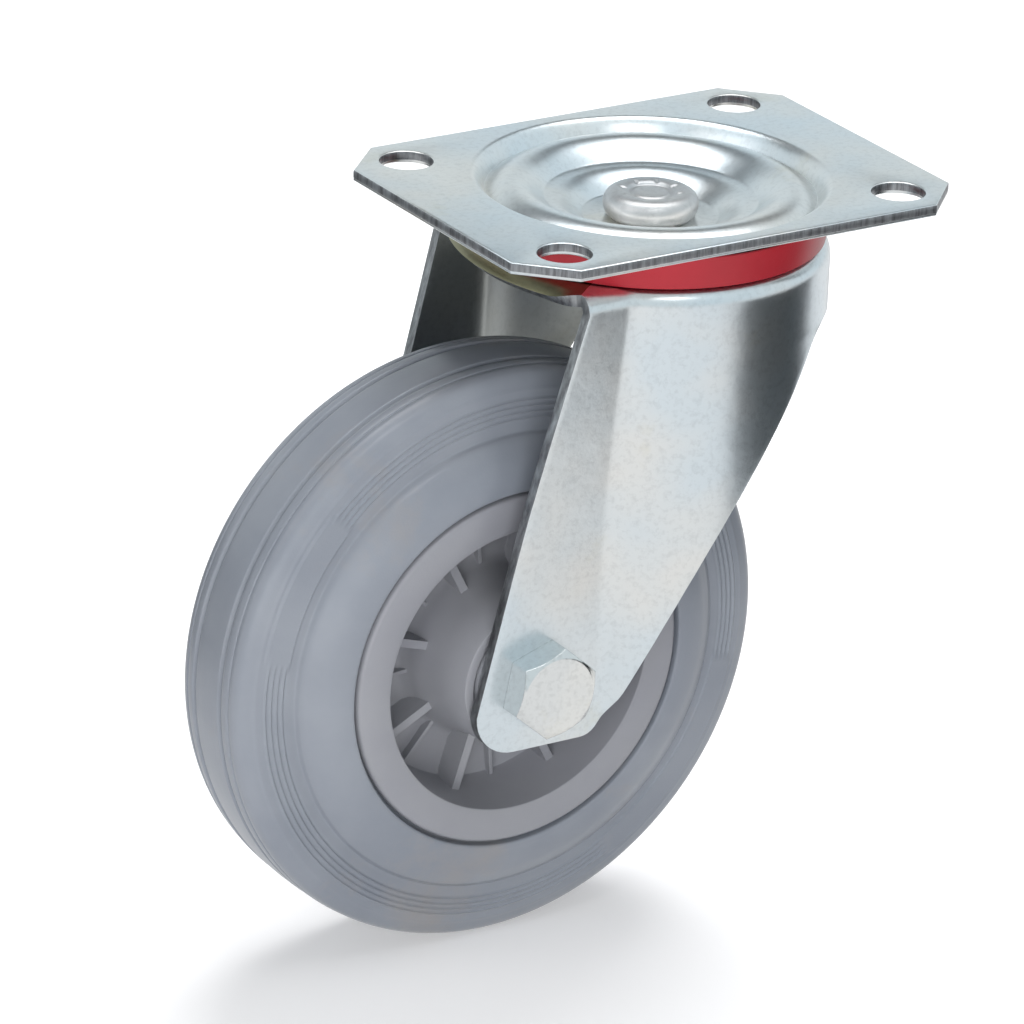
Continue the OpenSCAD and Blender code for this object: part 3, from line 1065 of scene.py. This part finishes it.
    def axle_drill(self) -> bpy.types.Object:
        """Builds the bar that bores both legs along the axle.

        Returns:
            The bar, as wide as the hole.
        """
        bm = bmesh.new()
        lie = Matrix.Translation(AXLE) @ Matrix.Rotation(math.pi / 2, 4, "X")
        radius = self.bore_r * MM
        bmesh.ops.create_cone(bm, cap_ends=True, segments=self.bore_steps, radius1=radius, radius2=radius,
                              depth=3 * self.leg_out * MM, matrix=lie)
        return add("axle_drill", bm)

    def build(self) -> bpy.types.Object:
        """Builds the fork's sheet.

        Returns:
            One closed piece with its edges rounded.
        """
        piece = add("fork_sheet", self.skin())
        # The inner shell's darker zinc is painted shade inside the fork.
        inside = self.inside.build()
        # Slots: outer zinc, painted-shade inside, painted-shade rear rim, its painted-shade inner face, cut
        # edge.
        for material in (self.sheet.build(), inside, self.rear_rim_painted_shade.build(), inside, self.cut.build()):
            piece.data.materials.append(material)
        drill = self.axle_drill()
        set_up(piece.modifiers.new("thickness", "SOLIDIFY"), thickness=self.thick * MM, offset=-1.0,
               use_even_offset=False, material_offset=1, material_offset_rim=4)
        set_up(piece.modifiers.new("edges", "BEVEL"), width=self.edge_round * MM, segments=3,
               limit_method="ANGLE", angle_limit=math.radians(self.edge_angle), material=0)
        set_up(piece.modifiers.new("axle_bore", "BOOLEAN"), operation="DIFFERENCE", solver="EXACT",
               object=drill)
        bake(piece)
        bpy.data.objects.remove(drill)
        shade(piece, sharp=40.0)
        enrol(piece, "fork", "fork")
        return piece


@dataclass
class CrownRace:
    """Ring of the fork's crown that carries both ball rows. Sizes in millimetres."""

    steps: int = 144
    profile: Table = (
        (17.4, -11.0), (21.4, -10.8), (24.5, -8.45), (25.3, -8.5), (26.2, -9.3), (27.4, -10.1),
        (28.5, -10.3), (29.6, -10.1), (30.8, -9.3), (31.6, -8.5), (32.2, -8.45), (33.0, -11.33),
        (33.0, -13.77), (31.2, -12.9), (25.5, -12.9), (24.5, -13.8), (22.8, -13.8), (22.2, -14.2),
        (20.0, -13.2), (17.6, -13.8), (17.4, -13.6))
    finish: ZincPlate = ZincPlate("zinc_crown_race", cool=(0.60, 0.62, 0.64), warm=(0.70, 0.70, 0.71))

    def build(self) -> bpy.types.Object:
        """Builds the race.

        Returns:
            One closed ring.
        """
        bm = bmesh.new()
        loft(bm, [ring_of(bm, r, z, self.steps) for r, z in self.profile], closed=True)
        return piece_from("crown_race", bm, [self.finish.build()], "fork", None)


@dataclass
class RibNodes:
    """Geometry Nodes group that sets straight ribs round a wheel's axle."""

    name: str = "ribs_round_axle"
    inputs: tuple[tuple[str, str], ...] = (
        ("Geometry", "Geometry"), ("Count", "Int"), ("Phase", "Float"), ("Inner Radius", "Float"),
        ("Length", "Float"), ("Thickness", "Float"), ("Reach", "Float"), ("Axle", "Vector"),
        ("Material", "Material"))

    def build(self) -> bpy.types.GeometryNodeTree:
        """Builds the group.

        Returns:
            The group, whose named inputs are in metres and radians.
        """
        group = bpy.data.node_groups.new(self.name, "GeometryNodeTree")
        for label, kind in self.inputs:
            group.interface.new_socket(label, in_out="INPUT", socket_type="NodeSocket" + kind)
        group.interface.new_socket("Geometry", in_out="OUTPUT", socket_type="NodeSocketGeometry")
        nodes = group.nodes

        def value(operation: str, first: object, second: object) -> bpy.types.Node:
            """Adds a node that works out a value from two sockets, nodes or numbers."""
            return wire(set_up(nodes.new("ShaderNodeMath"), operation=operation), first, second)

        given = nodes.new("NodeGroupInput").outputs
        size = wire(nodes.new("ShaderNodeCombineXYZ"), X=given["Length"],
                    Y=value("MULTIPLY", given["Reach"], 2.0), Z=given["Thickness"])
        rib = wire(nodes.new("GeometryNodeMeshCube"), Size=size)
        middle = value("ADD", given["Inner Radius"], value("MULTIPLY", given["Length"], 0.5))
        shift = wire(nodes.new("ShaderNodeCombineXYZ"), X=middle)
        placed = wire(nodes.new("GeometryNodeTransform"), Geometry=rib, Translation=shift)
        points = wire(nodes.new("GeometryNodePoints"), Count=given["Count"], Position=given["Axle"])
        pitch = value("DIVIDE", math.tau, given["Count"])
        index = nodes.new("GeometryNodeInputIndex")
        angle = value("ADD", given["Phase"], value("MULTIPLY", index, pitch))
        turn = wire(nodes.new("FunctionNodeAxisAngleToRotation"), Axis=(0.0, -1.0, 0.0), Angle=angle)
        row = wire(nodes.new("GeometryNodeInstanceOnPoints"), Points=points, Instance=placed, Rotation=turn)
        solid = wire(nodes.new("GeometryNodeRealizeInstances"), Geometry=row)
        dressed = wire(nodes.new("GeometryNodeSetMaterial"), Geometry=solid, Material=given["Material"])
        joined = wire(nodes.new("GeometryNodeJoinGeometry"), Geometry=given["Geometry"])
        wire(joined, Geometry=dressed)
        wire(nodes.new("NodeGroupOutput"), Geometry=joined)
        return group


@dataclass(frozen=True)
class RibRow:
    """One row of equal ribs. Sizes in millimetres, angles in degrees."""

    count: int
    phase: float
    inner_r: float
    outer_r: float
    thick: float
    reach: float

    def given(self, material: bpy.types.Material) -> dict[str, object]:
        """Returns the node group's values by input, in metres and radians."""
        return {"Count": self.count, "Phase": math.radians(self.phase), "Inner Radius": self.inner_r * MM,
                "Length": (self.outer_r - self.inner_r) * MM, "Thickness": self.thick * MM,
                "Reach": self.reach * MM, "Axle": AXLE, "Material": material}


@dataclass
class Rim:
    """Rim moulding: hub barrel, web, ring and two rows of ribs. Sizes in millimetres."""

    steps: int = 180
    line: Table = (
        (10.2, 21.6), (13.8, 21.6), (13.8, 23.4), (15.3, 23.5), (15.7, 23.35), (15.85, 23.0), (16.9, 14.0),
        (18.3, 6.4), (19.2, 4.4), (20.6, 3.5), (27.6, 3.5), (29.0, 3.9), (29.5, 4.9), (30.5, 18.5),
        (30.65, 18.85), (31.0, 19.0), (37.0, 18.75), (37.6, 18.5), (37.95, 18.0), (38.0, 16.4), (36.0, 15.6))
    rows: tuple[RibRow, ...] = (RibRow(8, 118.0, 14.8, 30.2, 1.8, 10.0),
                                RibRow(8, 140.5, 14.8, 30.2, 0.8, 5.4))
    plastic: Moulding = Moulding("rim_plastic", (0.245, 0.25, 0.278), (0.282, 0.288, 0.31), rough=0.34)

    def build(self) -> bpy.types.Object:
        """Builds the rim.

        Returns:
            The rim with its ribs as one piece.
        """
        line = [(r, -y) for r, y in reversed(self.line)] + list(self.line)
        bm = round_axle(line, self.steps)
        plastic = self.plastic.build()
        piece = piece_from("rim_moulded", bm, [plastic], "wheel", "rim", sharp=40.0)
        group = RibNodes().build()
        for index, row in enumerate(self.rows):
            ribs = piece.modifiers.new("ribs_%d" % index, "NODES")
            ribs.node_group = group
            given = row.given(plastic)
            for item in group.interface.items_tree:
                if item.in_out == "INPUT" and item.name in given:
                    ribs[item.identifier] = given[item.name]
        bake(piece)
        LOG.info("rim with ribs: %d faces", len(piece.data.polygons))
        return piece


@dataclass
class PlateAssembly:
    """Top plate, king pin, lower race, lower balls and dust seal."""

    plate: TopPlate = field(default_factory=TopPlate)
    pin: KingPin = field(default_factory=KingPin)
    turned: ZincPlate = ZincPlate("zinc_race", cool=(0.60, 0.62, 0.64), warm=(0.70, 0.70, 0.71), rough=0.34)
    seal: Moulding = Moulding("red_seal_plastic", (0.32, 0.007, 0.016), (0.38, 0.010, 0.022), rough=0.34)

    def make(self) -> None:
        """Builds and dresses the assembly."""
        self.plate.build()
        self.pin.build()
        dress(self.turned.build(), "lower_race", "lower_balls")
        dress(self.seal.build(), "dust_seal")


@dataclass
class ForkAssembly:
    """Pressed fork, its upper balls and the axle that it carries."""

    sheet: ForkSheet = field(default_factory=ForkSheet)
    race: CrownRace = field(default_factory=CrownRace)
    bolt: ZincPlate = ZincPlate("zinc_bolt", cool=(0.72, 0.74, 0.74), warm=(0.86, 0.84, 0.78), rough=0.16,
                                edge=0.0004)
    washer: Moulding = Moulding("washer_plastic", (0.30, 0.31, 0.34), (0.34, 0.35, 0.38))
    nylon: Moulding = Moulding("nut_nylon", (0.52, 0.53, 0.55), (0.58, 0.59, 0.60))

    def make(self) -> None:
        """Builds and dresses the assembly."""
        self.sheet.build()
        self.race.build()
        dress(self.bolt.build(), "upper_balls", "axle_bolt", "axle_tube", "nut_washer", "axle_nut")
        dress(self.washer.build(), "thrust_washer_near", "thrust_washer_far")
        dress(self.nylon.build(), "nut_ring")


@dataclass
class WheelAssembly:
    """Rim moulding, tyre and roller bearing."""

    tyre: Tyre = field(default_factory=Tyre)
    rim: Rim = field(default_factory=Rim)
    plastic: Moulding = Moulding("cage_plastic", (0.235, 0.24, 0.262), (0.27, 0.275, 0.292), rough=0.34)
    steel: ZincPlate = ZincPlate("roller_steel", cool=(0.55, 0.56, 0.58), warm=(0.62, 0.62, 0.63),
                                 rough=0.25)

    def make(self) -> None:
        """Builds and dresses the assembly."""
        self.tyre.build()
        self.rim.build()
        dress(self.plastic.build(), "roller_cage")
        dress(self.steel.build(), "rollers")


# studio


class Panel(Enum):
    """What a studio panel does."""

    LAMP = "lights the object and is not mirrored"
    GLOW = "is only mirrored, as a softbox is"
    FLAG = "is only mirrored, as a dark cloth is"
    CARD = "is mirrored, and keeps soft light away"


@dataclass(frozen=True)
class Fixture:
    """One studio panel: its direction and distance from the object, its size and its light.

    The strength is a lamp's power in watts, or the level that a mirrored panel shows.
    """

    name: str
    kind: Panel
    azimuth: float
    elevation: float
    reach: float
    width: float
    height: float
    strength: float
    tint: Colour = (1.0, 1.0, 1.0)


@dataclass
class Studio:
    """Pale floor, white surround, soft lamps and mirrored panels, and the photograph's camera."""

    azimuth: float = -32.91
    elevation: float = 22.46
    roll: float = 2.29
    distance: float = 1.406
    target: Vector = Vector((-0.0420, -0.0178, -0.0593))
    focal_px: float = 7000.0
    picture_px: float = 1024.0
    sensor_mm: float = 36.0
    floor_z: float = -0.1565
    floor_half: float = 6.0
    floor_colour: Colour = (0.86, 0.86, 0.87)
    floor_glow: tuple[tuple[str, float, float], ...] = (
        ("Is Camera Ray", 0.10, 3.00), ("Is Glossy Ray", 0.85, 0.92))
    soft_light: Colour = (0.95, 0.975, 1.0)
    soft_level: float = 0.32
    surrounds: tuple[tuple[str, Colour, float], ...] = (
        ("Is Glossy Ray", (0.87, 0.96, 1.0), 0.87), ("Is Camera Ray", (1.0, 1.0, 1.0), 1.0),
        ("Is Transmission Ray", (1.0, 1.0, 1.0), 1.0))
    fixtures: tuple[Fixture, ...] = (
        Fixture("lamp_front", Panel.LAMP, -34.0, 8.0, 0.75, 0.6, 0.4, 4.3),
        Fixture("lamp_top", Panel.LAMP, 20.0, 80.0, 0.9, 0.6, 0.6, 2.0),
        Fixture("lamp_back", Panel.LAMP, 138.0, 58.0, 1.0, 0.65, 0.65, 11.0),
        Fixture("softbox_top", Panel.GLOW, 150.0, 80.0, 0.9, 1.0, 0.45, 3.0),
        Fixture("softbox_left", Panel.GLOW, -90.0, 35.0, 1.0, 0.7, 0.5, 1.6),
        Fixture("softbox_tyre", Panel.GLOW, -16.0, 51.0, 0.9, 0.30, 0.14, 5.0),
        Fixture("card_right", Panel.CARD, 60.0, -14.0, 0.26, 0.27, 0.16, 0.04, (0.8, 0.9, 1.0)),
        Fixture("flag_far", Panel.FLAG, 165.0, 49.0, 0.9, 1.5, 0.36, 0.08, (0.85, 0.95, 1.0)),
        Fixture("flag_inner", Panel.FLAG, -148.0, -12.0, 0.28, 0.30, 0.16, 0.16, (0.85, 0.93, 1.0)),
        Fixture("flag_leg", Panel.FLAG, 148.0, -12.0, 0.28, 0.24, 0.16, 0.05))

    @staticmethod
    def direction(azimuth: float, elevation: float) -> Vector:
        """Returns the unit vector from the object towards a viewer at those angles in degrees."""
        a, e = math.radians(azimuth), math.radians(elevation)
        return Vector((math.sin(a) * math.cos(e), -math.cos(a) * math.cos(e), math.sin(e)))

    @staticmethod
    def sheet(name: str, width: float, height: float) -> bpy.types.Mesh:
        """Builds a flat rectangle round the origin.

        Args:
            name: The mesh's name.
            width: Its size along X, in metres.
            height: Its size along Y, in metres.

        Returns:
            The mesh.
        """
        x, y = width / 2, height / 2
        mesh = bpy.data.meshes.new(name)
        mesh.from_pydata([(-x, -y, 0), (x, -y, 0), (x, y, 0), (-x, y, 0)], [], [(0, 1, 2, 3)])
        return mesh

    @staticmethod
    def blend(share: object, first: bpy.types.Node, second: bpy.types.Node) -> bpy.types.Node:
        """Mixes a share of the second shader into the first and returns the mixing node."""
        return wire(first.id_data.nodes.new("ShaderNodeMixShader"), share, first, second)

    def camera(self) -> None:
        """Places the camera where the photograph was taken from."""
        back = self.direction(self.azimuth, self.elevation)
        level = Vector((math.cos(math.radians(self.azimuth)), math.sin(math.radians(self.azimuth)), 0.0))
        turn = math.radians(self.roll)
        right = level * math.cos(turn) + back.cross(level) * math.sin(turn)
        up = back.cross(right)
        lens = self.focal_px / self.picture_px * self.sensor_mm
        data = set_up(bpy.data.cameras.new("camera"), sensor_width=self.sensor_mm, lens=lens,
                      clip_start=0.05, clip_end=20.0)
        place = Matrix((right, up, back)).transposed().to_4x4()
        place.translation = self.target + back * self.distance
        bpy.context.scene.camera = set_up(add("camera", data), matrix_world=place)

    def world(self) -> None:
        """Gives a white surround to the camera, a cool one to gloss and a plain level to the rest."""
        world = bpy.data.worlds.new("surround")
        world.use_nodes = True
        nodes = world.node_tree.nodes
        path = nodes.new("ShaderNodeLightPath")
        shader = wire(nodes["Background"], Color=(*self.soft_light, 1.0), Strength=self.soft_level)
        for ray, colour, strength in self.surrounds:
            background = wire(nodes.new("ShaderNodeBackground"), (*colour, 1.0), strength)
            shader = self.blend(path.outputs[ray], shader, background)
        wire(nodes["World Output"], Surface=shader)
        bpy.context.scene.world = world

    def panel(self, fixture: Fixture) -> None:
        """Adds a panel that faces the object.

        Args:
            fixture: What it does and where it stands.
        """
        away = self.direction(fixture.azimuth, fixture.elevation)
        lamp = fixture.kind is Panel.LAMP
        if lamp:
            data = set_up(bpy.data.lights.new(fixture.name, "AREA"), shape="RECTANGLE", size=fixture.width,
                          size_y=fixture.height, energy=fixture.strength, color=fixture.tint)
        else:
            data = self.sheet(fixture.name, fixture.width, fixture.height)
            cloth = bpy.data.materials.new(fixture.name)
            cloth.use_nodes = True
            nodes = cloth.node_tree.nodes
            glow = wire(nodes.new("ShaderNodeEmission"), (*fixture.tint, 1.0), fixture.strength)
            wire(nodes["Material Output"], Surface=glow)
            data.materials.append(cloth)
        turn = away.to_track_quat("Z", "Y").to_matrix().to_4x4()
        turn.translation = self.target + away * fixture.reach
        panel = set_up(add(fixture.name, data), matrix_world=turn, visible_camera=False)
        if lamp:
            panel.visible_glossy = False
        else:
            set_up(panel, visible_diffuse=fixture.kind is Panel.CARD, visible_shadow=False,
                   visible_transmission=False)

    def floor(self) -> None:
        """Lays a wide white floor that keeps a soft shadow and is mirrored as plain white paper."""
        mesh = self.sheet("floor", 2 * self.floor_half, 2 * self.floor_half)
        mesh.transform(Matrix.Translation((0, 0, self.floor_z)))
        paper = Tree("floor_paper")
        paper.finish(Base_Color=(*self.floor_colour, 1.0), Roughness=0.9, Specular_IOR_Level=0.1)
        nodes = paper.nodes
        path = nodes.new("ShaderNodeLightPath")
        shader = nodes["Principled BSDF"]
        for ray, share, strength in self.floor_glow:
            glow = wire(nodes.new("ShaderNodeEmission"), (*grey(1.0), 1.0), strength)
            scale = set_up(nodes.new("ShaderNodeMath"), operation="MULTIPLY")
            shader = self.blend(wire(scale, path.outputs[ray], share), shader, glow)
        wire(nodes["Material Output"], Surface=shader)
        mesh.materials.append(paper.material)
        add("floor", mesh)

    def make(self) -> None:
        """Builds the whole studio."""
        bpy.context.scene.view_settings.view_transform = "Standard"
        self.camera()
        self.world()
        self.floor()
        for fixture in self.fixtures:
            self.panel(fixture)


def main() -> None:
    """Builds the castor's looks and the studio."""
    logging.basicConfig(level=logging.INFO, format="%(name)s: %(message)s")
    for assembly in (PlateAssembly(), ForkAssembly(), WheelAssembly()):
        assembly.make()
    Studio().make()


if __name__ == "__main__":
    main()
